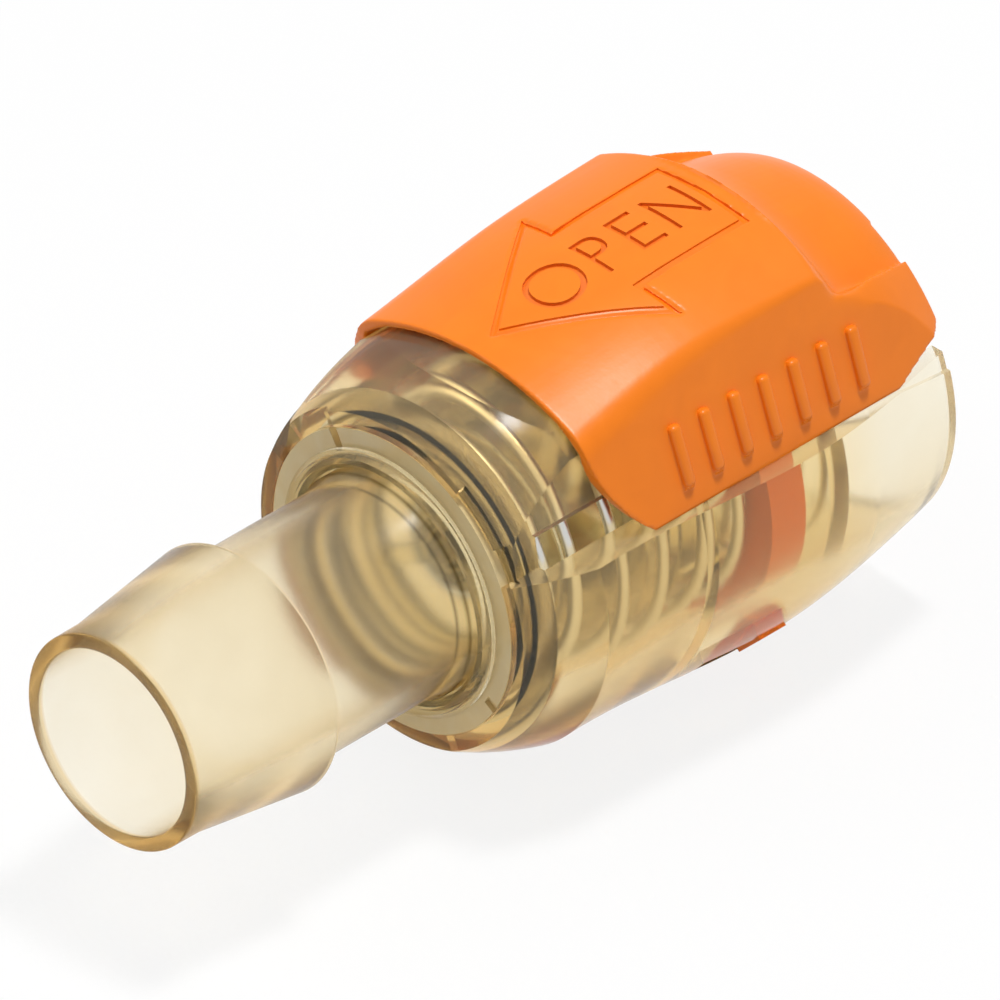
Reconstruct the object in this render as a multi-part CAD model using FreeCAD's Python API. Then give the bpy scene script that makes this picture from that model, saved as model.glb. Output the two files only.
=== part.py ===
import FreeCAD, Part
import math
import os

from FreeCAD import Vector

# Valved hose barb coupling, socket half, in millimetres.
# X runs along the flow axis from the open end of the barb to the mouth of the socket.
# Z is up through the slide latch, and the flow axis is Y = Z = 0.

# Clearances
RUN_FIT = 0.08          # radial gap of a part that slides in or on another
SEAT_FIT = 0.05         # radial gap of a part that is fixed in another
FACE_GAP = 0.05         # axial gap between two faces that meet
SLIDE_GAP = 0.15        # gap round the latch and the lock ring where they slide
CLOSED_PITCH = 1.05     # pitch of a spring's closed end turns, in wire diameters

# Hose barb
BORE_R = 5.5            # flow bore
BARB_WALL = 0.9         # wall of the plain stem
BARB_LENGTH = 20.3      # from the open end to the end of the collar
TIP_LAND = 2.2          # straight length behind the open end
TIP_ROUND = 0.2         # broken edge at the open end
RIDGE_HEIGHT = 0.98     # how far the sharp ridge stands above the stem
RIDGE_RAMP = 7.5        # length of the cone up to the ridge
RIDGE_STEP = 0.5        # length of the step behind the ridge
COLLAR_RISE = 0.3       # how far the collar stands above the stem
COLLAR_FLARE = 0.7      # length of the flare up to the collar
TAIL_RISE = 0.45        # how far the captured tail stands above the collar
TAIL_LENGTH = 3.05
BARB_SEAL_WIDTH = 0.9
BARB_SEAL_DEPTH = 0.55  # depth of the seal's groove in the collar

# Nose of the inner body, through the front wall of the housing
NOSE_GAP = 0.14         # dark hairline between collar and nose
NOSE_WALL = 1.06
NOSE_PROUD = 0.7        # how far the nose stands in front of the housing
NOSE_SHOULDER = 0.55    # from the wall's back face to the end of the nose bore
CLIP_DEPTH = 0.4        # depth of the clip's groove in the nose
CLIP_THICK = 0.6
CLIP_WIDTH = 1.5        # radial width of the clip
CLIP_SPLIT_ANGLE = 30.0     # from the top, towards +Y
CLIP_SPLIT = 4.0        # degrees left open between its ends
CLIP_NOTCH_ANGLE = 120.0    # from the top, towards -Y

# Inner body
BODY_WALL = 1.2
CHAMBER_LENGTH = 5.3    # from the barb's tail to the valve seat
SEAT_DROP = 1.6         # length of the valve seat, a cone as long as its step in radius
THROAT_LENGTH = 0.7
SOCKET_STEP = 0.95      # from the throat's radius to the sealing bore's
SEALING_LENGTH = 4.3
FINGER_COUNT = 4
FINGER_SPAN = 50.0      # degrees covered by one finger
FINGER_SLOT = 0.7       # width of the slots beside and behind a finger
FINGER_GAP = 0.4        # ring-shaped gap that lets the fingers bend in
FINGER_WALL = 0.55
TOOTH_DEPTH = 0.7
TOOTH_LENGTH = 1.4
GUIDE_STEP = 1.12       # from the sealing bore's radius to the guide bore's
GUIDE_LENGTH = 3.4
FLANGE_THICK = 1.4
MOUTH_CHAMFER = 0.5

# Outer housing
RIM_HEIGHT = 0.6        # depth of the recess inside the front rim
RIM_WIDTH = 0.9
FRONT_WALL = 1.8
SHELL_GAP = 0.6         # radial gap between the large spring and the housing
RING_ROOM = 0.5         # extra bore radius round the lock ring
SHOULDER_LENGTH = 4.6
SHOULDER_WALL = 1.82
SHOULDER_BULGE = 0.16
FLANK_WALL = 2.13
FLANK_BEFORE_RING = 4.9
BELLY_WALL = 2.5
BELLY_PAST_RING = 3.1
HAUNCH_WALL = 1.99
HAUNCH_PAST_RING = 8.1
MOUTH_PAST_RING = 14.0
MOUTH_RISE = 0.93       # outer radius of the mouth over the bore's
MOUTH_WALL = 1.0        # wall of the skirt at the mouth
LEDGE_Z = 4.1           # flat top of the lower half, which carries the wings
DOME_RISE = 0.24        # how far the dome stands above the shoulder
DOME_BLEND = 0.9        # length over which it rises
DOME_LENGTH = 9.8       # from the front face to the end of the dome
DOME_EDGE = 1.8         # lower edge of the dome, over the ledge
DOME_FOOT_Y = 8.7       # half width of the dome at the ledge
DOME_LEAN = 9.0         # degrees its flat sides lean in
RIM_TOP_ANGLE = 31.0    # half span of the rim's top part
RIM_STEP_ANGLE = 53.0   # half span to the end of its lower steps
RIM_STEP_DEPTH = 0.35   # depth of the lower steps, behind the rim's front
RIM_GAP_DEPTH = 0.7     # and of the gap between them and the ledge
RELIEF_HALF_ANGLE = 27.0
RELIEF_DEPTH = 0.7
REBATE_LENGTH = 4.4     # shallow step beside the mouth
REBATE_DROP = 0.95
REBATE_DEPTH = 0.25

# Large spring round the inner body
SPRING_GAP = 0.35
SPRING_WIRE = 0.65
SPRING_TURNS = 6.4
SPRING_END_TURNS = 1.0
SPRING_START = 0.25     # share of a turn from the top to the wire's first end, towards +Y
TRAVEL = 3.6            # travel of the latch

# Lock ring
RING_LENGTH = 2.5
RING_WALL = 0.7
RING_WEB = 0.6
KEY_WIDTH = 2.2
KEY_ANGLE = 45.0        # below the horizontal, on both sides
KEY_PROUD = 0.12        # how far the keys stand out of the housing
LUG_WIDTH = 8.0
LUG_LENGTH = 2.0
LUG_INSET = 0.3         # from the ring's front face
LUG_TOP_GAP = 0.3

# Slide latch. Lengths run from its front edge, heights from the housing's bore radius.
LATCH_LEAD = 11.9       # from the front edge to the lock ring
LATCH_ROOF = ((0.0, 2.1), (4.0, 2.85), (8.5, 3.6), (13.0, 3.88), (18.4, 3.97))
ROOF_DROP = 5.0         # how far the axis that the roof curves round lies under the flow axis
LATCH_BACK = ((17.6, 4.5), (18.6, 4.15), (19.8, 3.55), (22.1, 2.9), (24.2, 2.15), (25.65, 1.55))
LATCH_WALL = 1.1
CAVITY_RISE = 2.6       # highest place of the space under the roof
LATCH_TOP_GAP = 0.2     # between the dome and the front lip
LIP_THICK = 0.4         # least thickness of the front lip
WING_SPREAD = 0.87      # half width over the wings' feet, over the bore radius
WING_LEAN_FRONT = 23.0  # degrees the wings lean in at the front
WING_LEAN_REAR = 18.0   # and at the rear
WING_LENGTH = 21.6      # from the front edge to the rear corner of the wing's foot
WING_GAP_Z = 0.06       # between the wing's foot and the ledge
WING_SWEEP = ((0.0, 6.0), (0.2, 4.3), (1.5, 1.75), (2.6, 0.5), (3.7, -0.3))   # height over the ledge
WING_POINT = 2.1        # rear point of the wing, over the ledge
CREASE_FRONT_R = 2.5    # rounding between roof and wings at the front
CREASE_REAR_R = 0.6     # and at the rear
SCOOP_FLOOR = ((17.9, 4.55), (18.7, 3.9), (19.4, 2.95), (20.4, 2.42), (23.2, 1.83), (25.9, 0.93))
SCOOP_HALF_ANGLE = 39.4
ARROW_START = 1.6
ARROW_HEAD_LENGTH = 8.25
ARROW_HEAD_HALF = 5.95
ARROW_BARB_SWEEP = 0.35
ARROW_SHAFT_HALF = 3.35
ARROW_LENGTH = 15.9
ENGRAVE_WIDTH = 0.28
ENGRAVE_DEPTH = 0.18
GRIP_BARS = 7
GRIP_START = 6.0
GRIP_PITCH = 2.2
GRIP_BAR_WIDTH = 0.7
GRIP_BAR_HEIGHT = 0.3
GRIP_LOW = 1.3          # lower end of the bars, over the ledge
GRIP_REACH = 3.2

# Valve
SPIDER_SHELF = 0.65     # from the tail's front face to the spider
SPIDER_THICK = 1.2
SPIDER_WALL = 0.9       # from the flow bore's radius to the spider's
SPIDER_STEP = 0.3       # from the flow bore's radius to the spider's inner one
SPOKE_INSET = 0.5       # from the spider's front face to its spokes
SPOKE_COUNT = 3
SPOKE_WIDTH = 1.1
HUB_WALL = 0.72
STEM_R = 1.2
STEM_INSET = 0.2        # how far the stem's end stands inside the hub when the valve is shut
VALVE_TRAVEL = 3.0
VALVE_SPRING_WIRE = 0.45
VALVE_SPRING_GAP = 1.18     # between the hub and the coils
VALVE_SPRING_TURNS = 3.5
VALVE_SPRING_END_TURNS = 0.5
SEAL_R = 0.6            # section radius of the valve's ring seal
SEAL_SEAT_GAP = 0.08
HEAD_THICK = 1.2
HEAD_OVER_SEAL = 0.4
LIP_THROAT_GAP = 0.35   # between the valve's front flange and the throat
LIP_LENGTH = 0.75
FIN_THICK = 1.2
FIN_THROAT_GAP = 1.2
FIN_LENGTH = 2.9

# Radii that follow from the bore outwards
STEM_OUT_R = BORE_R + BARB_WALL
RIDGE_R = STEM_OUT_R + RIDGE_HEIGHT
COLLAR_R = STEM_OUT_R + COLLAR_RISE
TAIL_R = COLLAR_R + TAIL_RISE
NOSE_BORE_R = COLLAR_R + NOSE_GAP
NOSE_R = NOSE_BORE_R + NOSE_WALL
CHAMBER_R = TAIL_R + SEAT_FIT
BODY_R = CHAMBER_R + BODY_WALL
THROAT_R = CHAMBER_R - SEAT_DROP
SOCKET_R = THROAT_R + SOCKET_STEP
GUIDE_R = SOCKET_R + GUIDE_STEP
FINGER_IN_R = BODY_R - FINGER_WALL
SPRING_R = BODY_R + SPRING_GAP + SPRING_WIRE / 2
SHELL_IN_R = SPRING_R + SPRING_WIRE / 2 + SHELL_GAP
RING_BORE_R = SHELL_IN_R + RING_ROOM
RING_R = RING_BORE_R - SLIDE_GAP
RING_IN_R = RING_R - RING_WALL
BUMP_R = RING_IN_R - SLIDE_GAP
CLIP_IN_R = NOSE_R - CLIP_DEPTH
CLIP_R = CLIP_IN_R + CLIP_WIDTH
RIM_IN_R = CLIP_R + SEAT_FIT
RIM_OUT_R = RIM_IN_R + RIM_WIDTH
SHOULDER_R = SHELL_IN_R + SHOULDER_WALL
DOME_R = SHOULDER_R + DOME_RISE
MOUTH_R = SHELL_IN_R + MOUTH_RISE
WING_FOOT_Y = SHELL_IN_R + WING_SPREAD
SPIDER_R = BORE_R + SPIDER_WALL
HUB_R = STEM_R + RUN_FIT + HUB_WALL
VALVE_SPRING_R = HUB_R + VALVE_SPRING_GAP + VALVE_SPRING_WIRE / 2

# Places along the axis that follow from the open end of the barb
RIDGE_X = TIP_LAND + RIDGE_RAMP
NOSE_X = BARB_LENGTH
FRONT_X = NOSE_X + NOSE_PROUD
WALL_FACE_X = FRONT_X + RIM_HEIGHT
WALL_BACK_X = WALL_FACE_X + FRONT_WALL
SHOULDER_X = FRONT_X + SHOULDER_LENGTH
DOME_END_X = FRONT_X + DOME_LENGTH
TAIL_X = WALL_BACK_X + NOSE_SHOULDER
TAIL_END_X = TAIL_X + TAIL_LENGTH
SPIDER_X = TAIL_X + SPIDER_SHELF
SPOKE_X = SPIDER_X + SPOKE_INSET
SPIDER_END_X = SPIDER_X + SPIDER_THICK
SEAT_X = TAIL_END_X + CHAMBER_LENGTH
THROAT_X = SEAT_X + SEAT_DROP
SEALING_X = THROAT_X + THROAT_LENGTH
RING_X = SEALING_X + SEALING_LENGTH
TOOTH_X = RING_X + TOOTH_LENGTH
FINGER_END_X = TOOTH_X + TOOTH_LENGTH
FLANGE_X = FINGER_END_X + TOOTH_LENGTH
SOCKET_MOUTH_X = FINGER_END_X + GUIDE_LENGTH
LUG_X = RING_X + LUG_INSET
LUG_END_X = LUG_X + LUG_LENGTH
LATCH_FRONT_X = RING_X - LATCH_LEAD
LATCH_ROOF_X = LATCH_FRONT_X + LATCH_ROOF[-1][0]
MOUTH_X = RING_X + MOUTH_PAST_RING
SEAL_X = SEAT_X + CHAMBER_R - THROAT_R - (SEAL_R + SEAL_SEAT_GAP) * math.sqrt(2)
HEAD_X = SEAL_X - SEAL_R - HEAD_THICK
LIP_X = SEAL_X + SEAL_R
LIP_END_X = LIP_X + LIP_LENGTH


def at(x, r):
    return Vector(x, 0, r)


def lines(points):
    """Straight edges through (x, radius) points."""
    return [Part.makeLine(at(*a), at(*b)) for a, b in zip(points, points[1:])]


def curve(points):
    """One smooth edge through (x, radius) points."""
    spline = Part.BSplineCurve()
    spline.interpolate([at(*p) for p in points])
    return [spline.toShape()]


def turned(edges, angle=360.0, axis_z=0.0):
    """Solid of revolution about the flow axis, or a line over or under it, from edges above it."""
    wire = Part.Wire(Part.__sortEdges__(edges))
    return Part.Face(wire).revolve(Vector(0, 0, axis_z), Vector(1, 0, 0), angle)


def outline(points):
    """Closed straight outline through (x, radius) points."""
    return lines(points + points[:1])


def ring(x0, x1, r0, r1):
    """Plain ring from x0 to x1 between two radii."""
    return turned(outline([(x0, r0), (x1, r0), (x1, r1), (x0, r1)]))


def rolled(piece, angle):
    """Piece turned about the flow axis, from the top towards -Y."""
    piece.rotate(Vector(0, 0, 0), Vector(1, 0, 0), angle)
    return piece


def sector(x0, x1, r0, r1, middle, span):
    """Part of a ring, with its middle at an angle from the top, towards -Y."""
    piece = turned(outline([(x0, r0), (x1, r0), (x1, r1), (x0, r1)]), span)
    return rolled(piece, middle - span / 2)


def block(x0, x1, y0, y1, z0, z1):
    return Part.makeBox(x1 - x0, y1 - y0, z1 - z0, Vector(x0, y0, z0))


def slab(edges, half_width):
    """Closed edges in the (x, z) plane, made as deep as twice a half width."""
    face = Part.Face(Part.Wire(Part.__sortEdges__(edges)))
    face.translate(Vector(0, -half_width, 0))
    return face.extrude(Vector(0, 2 * half_width, 0))


def coil(start_x, end_x, mean_r, wire, turns, end_turns, start=0.0):
    """Compression spring with closed ends, swept along one smooth helix."""
    first = start_x + wire / 2
    last = end_x - wire / 2
    closed = wire * CLOSED_PITCH * end_turns
    steps = int(turns * 16)
    points = []
    for i in range(steps + 1):
        turn = turns * i / steps
        if turn < end_turns:
            x = first + closed * turn / end_turns
        elif turn > turns - end_turns:
            x = last - closed * (turns - turn) / end_turns
        else:
            share = (turn - end_turns) / (turns - 2 * end_turns)
            x = first + closed + (last - first - 2 * closed) * share
        angle = 2 * math.pi * (turn + start)
        points.append(Vector(x, mean_r * math.sin(angle), mean_r * math.cos(angle)))
    path = Part.BSplineCurve()
    path.interpolate(points)
    start_along = path.tangent(path.FirstParameter)[0]
    section = Part.Wire([Part.makeCircle(wire / 2, points[0], start_along)])
    return Part.Wire([path.toShape()]).makePipeShell([section], True, True)


def hose_barb():
    """Clear hose stem with one sharp ridge, its collar and the captured tail."""
    middle = (NOSE_X + TAIL_X) / 2
    groove_x = middle - BARB_SEAL_WIDTH / 2
    groove_end_x = middle + BARB_SEAL_WIDTH / 2
    groove_r = COLLAR_R - BARB_SEAL_DEPTH
    return turned(outline([
        (0, BORE_R),
        (0, STEM_OUT_R - TIP_ROUND),
        (TIP_ROUND, STEM_OUT_R),
        (TIP_LAND, STEM_OUT_R),
        (RIDGE_X, RIDGE_R),
        (RIDGE_X + RIDGE_STEP, STEM_OUT_R),
        (NOSE_X - COLLAR_FLARE, STEM_OUT_R),
        (NOSE_X, COLLAR_R),
        (groove_x, COLLAR_R),
        (groove_x, groove_r),
        (groove_end_x, groove_r),
        (groove_end_x, COLLAR_R),
        (TAIL_X, COLLAR_R),
        (TAIL_X, TAIL_R),
        (TAIL_END_X, TAIL_R),
        (TAIL_END_X, SPIDER_R + SEAT_FIT),
        (SPIDER_X, SPIDER_R + SEAT_FIT),
        (SPIDER_X, BORE_R),
    ]))


def barb_seal():
    """Ring seal squeezed between the barb's groove and the nose bore."""
    middle = (NOSE_X + TAIL_X) / 2
    inner = COLLAR_R - BARB_SEAL_DEPTH
    half = BARB_SEAL_WIDTH / 2 - FACE_GAP
    soft = (NOSE_BORE_R - inner) / 4
    return turned(outline([
        (middle - half + soft, inner),
        (middle + half - soft, inner),
        (middle + half, inner + soft),
        (middle + half, NOSE_BORE_R - soft),
        (middle + half - soft, NOSE_BORE_R),
        (middle - half + soft, NOSE_BORE_R),
        (middle - half, NOSE_BORE_R - soft),
        (middle - half, inner + soft),
    ]))


def front_clip():
    """Split snap ring that holds the nose in the front wall."""
    start_x = WALL_FACE_X - CLIP_THICK
    clip = ring(start_x, WALL_FACE_X, CLIP_IN_R, CLIP_R)
    split = sector(start_x - 1, WALL_FACE_X + 1, CLIP_IN_R - 1, CLIP_R + 1, -CLIP_SPLIT_ANGLE, CLIP_SPLIT)
    notch_r = CLIP_R - CLIP_WIDTH / 2
    notch_x = start_x + CLIP_THICK / 2
    notch = sector(start_x - 1, notch_x, notch_r, CLIP_R + 1, CLIP_NOTCH_ANGLE, CLIP_SPLIT)
    return clip.cut(split).cut(notch)


def inner_body():
    """Clear tube with the nose, valve seat, sealing bore, fingers and guide bore."""
    clip_x = WALL_FACE_X - CLIP_THICK - FACE_GAP
    chamber_x = TAIL_X - FACE_GAP
    soft = NOSE_WALL / 3
    socket_wall_r = GUIDE_R + BODY_WALL
    body = turned(outline([
        (NOSE_X, NOSE_BORE_R + soft),
        (NOSE_X, NOSE_R - soft),
        (NOSE_X + soft, NOSE_R),
        (clip_x, NOSE_R),
        (clip_x, CLIP_IN_R - SEAT_FIT),
        (WALL_FACE_X, CLIP_IN_R - SEAT_FIT),
        (WALL_FACE_X, NOSE_R),
        (WALL_BACK_X, NOSE_R),
        (WALL_BACK_X, BODY_R),
        (FLANGE_X, BODY_R),
        (FLANGE_X, RING_BORE_R - SEAT_FIT),
        (FLANGE_X + FLANGE_THICK, RING_BORE_R - SEAT_FIT),
        (FLANGE_X + FLANGE_THICK, socket_wall_r),
        (SOCKET_MOUTH_X, socket_wall_r),
        (SOCKET_MOUTH_X, GUIDE_R + MOUTH_CHAMFER),
        (SOCKET_MOUTH_X - MOUTH_CHAMFER, GUIDE_R),
        (FINGER_END_X, GUIDE_R),
        (FINGER_END_X, FINGER_IN_R),
        (SEALING_X, FINGER_IN_R),
        (SEALING_X, FINGER_IN_R - FINGER_GAP),
        (RING_X, FINGER_IN_R - FINGER_GAP),
        (RING_X, SOCKET_R),
        (SEALING_X, SOCKET_R),
        (SEALING_X, THROAT_R),
        (THROAT_X, THROAT_R),
        (SEAT_X, CHAMBER_R),
        (chamber_x, CHAMBER_R),
        (chamber_x, NOSE_BORE_R),
        (NOSE_X + soft, NOSE_BORE_R),
    ]))
    tooth_tip_r = FINGER_IN_R - TOOTH_DEPTH
    bump_x = RING_X + RING_WEB + SLIDE_GAP
    slot_span = math.degrees(FINGER_SLOT / BODY_R)
    for i in range(FINGER_COUNT):
        middle = 360.0 / FINGER_COUNT * (i + 0.5)
        tooth = turned(outline([
            (RING_X + TOOTH_LENGTH / 3, FINGER_IN_R),
            (TOOTH_X, tooth_tip_r),
            (TOOTH_X + TOOTH_LENGTH / 2, tooth_tip_r),
            (FINGER_END_X, FINGER_IN_R),
        ]), FINGER_SPAN)
        bump = turned(outline([
            (bump_x, BODY_R),
            (bump_x + (BUMP_R - BODY_R) / 3, BUMP_R),
            (RING_X + RING_LENGTH - SLIDE_GAP, BUMP_R),
            (FINGER_END_X, BODY_R),
        ]), FINGER_SPAN)
        for piece in (tooth, bump):
            body = body.fuse(rolled(piece, middle - FINGER_SPAN / 2))
        for side in (-1, 1):
            angle = middle + side * (FINGER_SPAN + slot_span) / 2
            body = body.cut(sector(SEALING_X, FINGER_END_X, FINGER_IN_R - FINGER_GAP, BUMP_R + 1,
                                   angle, slot_span))
        body = body.cut(sector(FINGER_END_X, FINGER_END_X + FINGER_SLOT, SOCKET_R, BODY_R + 1,
                               middle, FINGER_SPAN + 2 * slot_span))
    return body.removeSplitter()


def shoulder(end_r):
    """Convex edge from the front rim to the end of the shoulder."""
    slope = math.atan2(end_r - RIM_OUT_R, SHOULDER_LENGTH)
    middle_x = FRONT_X + SHOULDER_LENGTH / 2 - SHOULDER_BULGE * math.sin(slope)
    middle_r = (RIM_OUT_R + end_r) / 2 + SHOULDER_BULGE * math.cos(slope)
    arc = Part.Arc(at(FRONT_X, RIM_OUT_R), at(middle_x, middle_r), at(SHOULDER_X, end_r))
    return arc.toShape()


def lower_shell():
    """Turned shell with its front wall, open at the mouth."""
    nose_hole_r = NOSE_R + SEAT_FIT
    haunch_x = RING_X + HAUNCH_PAST_RING
    room_x = RING_X - TRAVEL - RING_ROOM
    outside = curve([
        (SHOULDER_X, SHOULDER_R),
        (RING_X - FLANK_BEFORE_RING, SHELL_IN_R + FLANK_WALL),
        (RING_X + BELLY_PAST_RING, SHELL_IN_R + BELLY_WALL),
        (haunch_x, SHELL_IN_R + HAUNCH_WALL),
        (MOUTH_X, MOUTH_R),
    ])
    front = lines([
        (WALL_BACK_X, SHELL_IN_R),
        (WALL_BACK_X, nose_hole_r),
        (WALL_FACE_X, nose_hole_r),
        (WALL_FACE_X, RIM_IN_R),
        (FRONT_X, RIM_IN_R),
        (FRONT_X, RIM_OUT_R),
    ])
    inside = lines([
        (MOUTH_X, MOUTH_R),
        (MOUTH_X, MOUTH_R - MOUTH_WALL),
        (haunch_x, RING_BORE_R),
        (room_x, RING_BORE_R),
        (room_x - RING_ROOM, SHELL_IN_R),
        (WALL_BACK_X, SHELL_IN_R),
    ])
    shell = turned(front + [shoulder(SHOULDER_R)] + outside + inside)
    reach = 2 * SHELL_IN_R
    open_top = block(WALL_BACK_X, MOUTH_X + 1, -reach, reach, LEDGE_Z, reach)
    beside_dome = block(FRONT_X - 1, WALL_BACK_X, -reach, reach, LEDGE_Z, reach).cut(dome_sides())
    return shell.cut(open_top).cut(beside_dome)


def dome_sides(gap=0.0, end_x=DOME_END_X):
    """Space between the flat sides of the dome, widened by a gap."""
    foot_y = DOME_FOOT_Y + gap
    top_z = 2 * SHELL_IN_R
    top_y = foot_y - (top_z - LEDGE_Z) * math.tan(math.radians(DOME_LEAN))
    low_y = foot_y + LEDGE_Z * math.tan(math.radians(DOME_LEAN))
    corners = [(-low_y, 0), (-top_y, top_z), (top_y, top_z), (low_y, 0)]
    section = Part.makePolygon([Vector(FRONT_X - 1, y, z) for y, z in corners + corners[:1]])
    return Part.Face(section).extrude(Vector(end_x - FRONT_X + 1, 0, 0))


def dome():
    """Roof over the front end, with a flatter crown and flat sides, under the latch."""
    reach = 2 * SHELL_IN_R
    crown_r = ROOF_DROP + SHELL_IN_R + LATCH_ROOF[0][1] - LIP_THICK - LATCH_TOP_GAP
    roof = turned([shoulder(SHOULDER_R)] + lines([
        (SHOULDER_X, SHOULDER_R),
        (SHOULDER_X + DOME_BLEND, DOME_R),
        (DOME_END_X, DOME_R),
        (DOME_END_X, SHELL_IN_R),
        (WALL_FACE_X, SHELL_IN_R),
        (WALL_FACE_X, RIM_IN_R),
        (FRONT_X, RIM_IN_R),
        (FRONT_X, RIM_OUT_R),
    ]))
    crown = Part.makeCylinder(crown_r, DOME_LENGTH + 1, Vector(FRONT_X - 1, 0, -ROOF_DROP), Vector(1, 0, 0))
    roof = roof.common(block(WALL_BACK_X, DOME_END_X, -reach, reach, LEDGE_Z + DOME_EDGE, reach))
    return roof.common(crown).common(dome_sides())


def lean_prism(x0, x1, foot_y, floor_z):
    """Prism with leaning sides that are a half width apart from the middle at the ledge."""
    sections = []
    for x in (x0, x1):
        share = (x - LATCH_FRONT_X) / WING_LENGTH
        lean = math.radians(WING_LEAN_FRONT + (WING_LEAN_REAR - WING_LEAN_FRONT) * share)
        low_y = foot_y + (LEDGE_Z - floor_z) * math.tan(lean)
        peak_z = LEDGE_Z + foot_y / math.tan(lean)
        corners = [Vector(x, -low_y, floor_z), Vector(x, 0, peak_z), Vector(x, low_y, floor_z)]
        sections.append(Part.makePolygon(corners + corners[:1]))
    return Part.makeLoft(sections, True, True)


def latch_inner_foot():
    """Half width of the space between the wings, at the ledge."""
    lean = math.radians((WING_LEAN_FRONT + WING_LEAN_REAR) / 2)
    return WING_FOOT_Y - LATCH_WALL / math.cos(lean)


def rebate():
    """Shallow step in the outer faces beside the mouth, under a line that falls to the rear."""
    start_x = MOUTH_X - REBATE_LENGTH
    end_x = MOUTH_X + 1
    drop = REBATE_DROP * (end_x - start_x) / REBATE_LENGTH
    wedge = slab(outline([
        (start_x, LEDGE_Z),
        (end_x, LEDGE_Z - drop),
        (end_x, LEDGE_Z + 1),
        (start_x, LEDGE_Z + 1),
    ]), 2 * SHELL_IN_R)
    steps = [
        (RING_X + BELLY_PAST_RING, SHELL_IN_R + BELLY_WALL - REBATE_DEPTH),
        (RING_X + HAUNCH_PAST_RING, SHELL_IN_R + HAUNCH_WALL - REBATE_DEPTH),
        (MOUTH_X, MOUTH_R - REBATE_DEPTH),
        (end_x, MOUTH_R - 2 * REBATE_DEPTH),
    ]
    core = turned(curve(steps) + lines([steps[-1], (end_x, 0), (steps[0][0], 0), steps[0]]))
    return wedge.cut(core)


def outer_housing():
    """Clear shell: front wall and dome, and an open-topped rear half with slots for the keys."""
    shell = lower_shell().fuse(dome())
    reach = 2 * SHELL_IN_R
    gap_end = math.degrees(math.acos(LEDGE_Z / RIM_OUT_R))
    for side in (-1, 1):
        for start, end, depth in (
            (RIM_TOP_ANGLE, RIM_STEP_ANGLE, RIM_STEP_DEPTH),
            (RIM_STEP_ANGLE, gap_end, RIM_GAP_DEPTH),
        ):
            middle = side * (start + end) / 2
            shell = shell.cut(sector(FRONT_X - 1, FRONT_X + depth, RIM_IN_R, reach, middle, end - start))
        half = KEY_WIDTH / 2 + SLIDE_GAP
        slot = block(RING_X - TRAVEL - SLIDE_GAP, LUG_END_X + SLIDE_GAP, -half, half, SPRING_R, reach)
        shell = shell.cut(rolled(slot, side * (90 + KEY_ANGLE)))
    relief = sector(FRONT_X - 1, FRONT_X + RELIEF_DEPTH, RIM_IN_R, reach, 180, 2 * RELIEF_HALF_ANGLE)
    return shell.cut(relief).cut(rebate()).removeSplitter()


def lock_ring():
    """Orange ring that backs the fingers, with two guide keys and a lug for the latch."""
    band = turned(outline([
        (RING_X, BODY_R + SLIDE_GAP),
        (RING_X + RING_WEB, BODY_R + SLIDE_GAP),
        (RING_X + RING_WEB, RING_IN_R),
        (RING_X + RING_LENGTH, RING_IN_R),
        (RING_X + RING_LENGTH, RING_R),
        (RING_X, RING_R),
    ]))
    root_r = (RING_R + RING_IN_R) / 2
    key_r = SHELL_IN_R + BELLY_WALL + KEY_PROUD
    for side in (-1, 1):
        key = block(LUG_X, LUG_END_X, -KEY_WIDTH / 2, KEY_WIDTH / 2, root_r, key_r)
        band = band.fuse(rolled(key, side * (90 + KEY_ANGLE)))
    half = LUG_WIDTH / 2
    lug_z = math.sqrt((SHELL_IN_R + CAVITY_RISE) ** 2 - half ** 2) - LUG_TOP_GAP
    lug = block(LUG_X, LUG_END_X, -half, half, 0, lug_z)
    core = Part.makeCylinder(root_r, RING_LENGTH, Vector(RING_X, 0, 0), Vector(1, 0, 0))
    return band.fuse(lug.cut(core)).removeSplitter()


def latch_points(points, sink=0.0):
    """Points given from the latch's front edge and the bore radius, sunk by a depth."""
    return [(LATCH_FRONT_X + along, SHELL_IN_R + height - sink) for along, height in points]


def latch_envelope(sink=0.0):
    """Outer form of the latch before the scoop, sunk by a depth."""
    roof = latch_points(LATCH_ROOF, sink)
    back = latch_points(LATCH_BACK, sink)
    end_r = MOUTH_R - sink
    front = turned(curve(roof) + lines([
        roof[-1],
        (LATCH_ROOF_X, -ROOF_DROP),
        (LATCH_FRONT_X, -ROOF_DROP),
        roof[0],
    ]), 360, -ROOF_DROP)
    rear = turned(curve(back) + lines([back[-1], (MOUTH_X, end_r), (MOUTH_X, 0), (back[0][0], 0), back[0]]))
    prism = lean_prism(LATCH_FRONT_X - 1, MOUTH_X + 1, WING_FOOT_Y - sink, 0)
    behind = block(LATCH_ROOF_X, MOUTH_X + 1, -2 * SHELL_IN_R, 2 * SHELL_IN_R, -1, 2 * SHELL_IN_R)
    return front.common(prism), rear.common(behind).common(prism)


def latch_form():
    """Roof with softly rounded creases, and the ears and scoop behind it."""
    front, rear = latch_envelope()
    for side in (-1, 1):
        for edge in front.Edges:
            box = edge.BoundBox
            along = box.XLength > LATCH_ROOF_X - LATCH_FRONT_X - 1
            if along and side * box.Center.y > 1 and box.ZMin > LEDGE_Z:
                radii = (CREASE_FRONT_R, CREASE_REAR_R)
                if edge.Vertexes[0].X > edge.Vertexes[-1].X:
                    radii = radii[::-1]
                front = front.makeFillet(radii[0], radii[1], [edge])
                break
    return front.fuse(rear)


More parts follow.
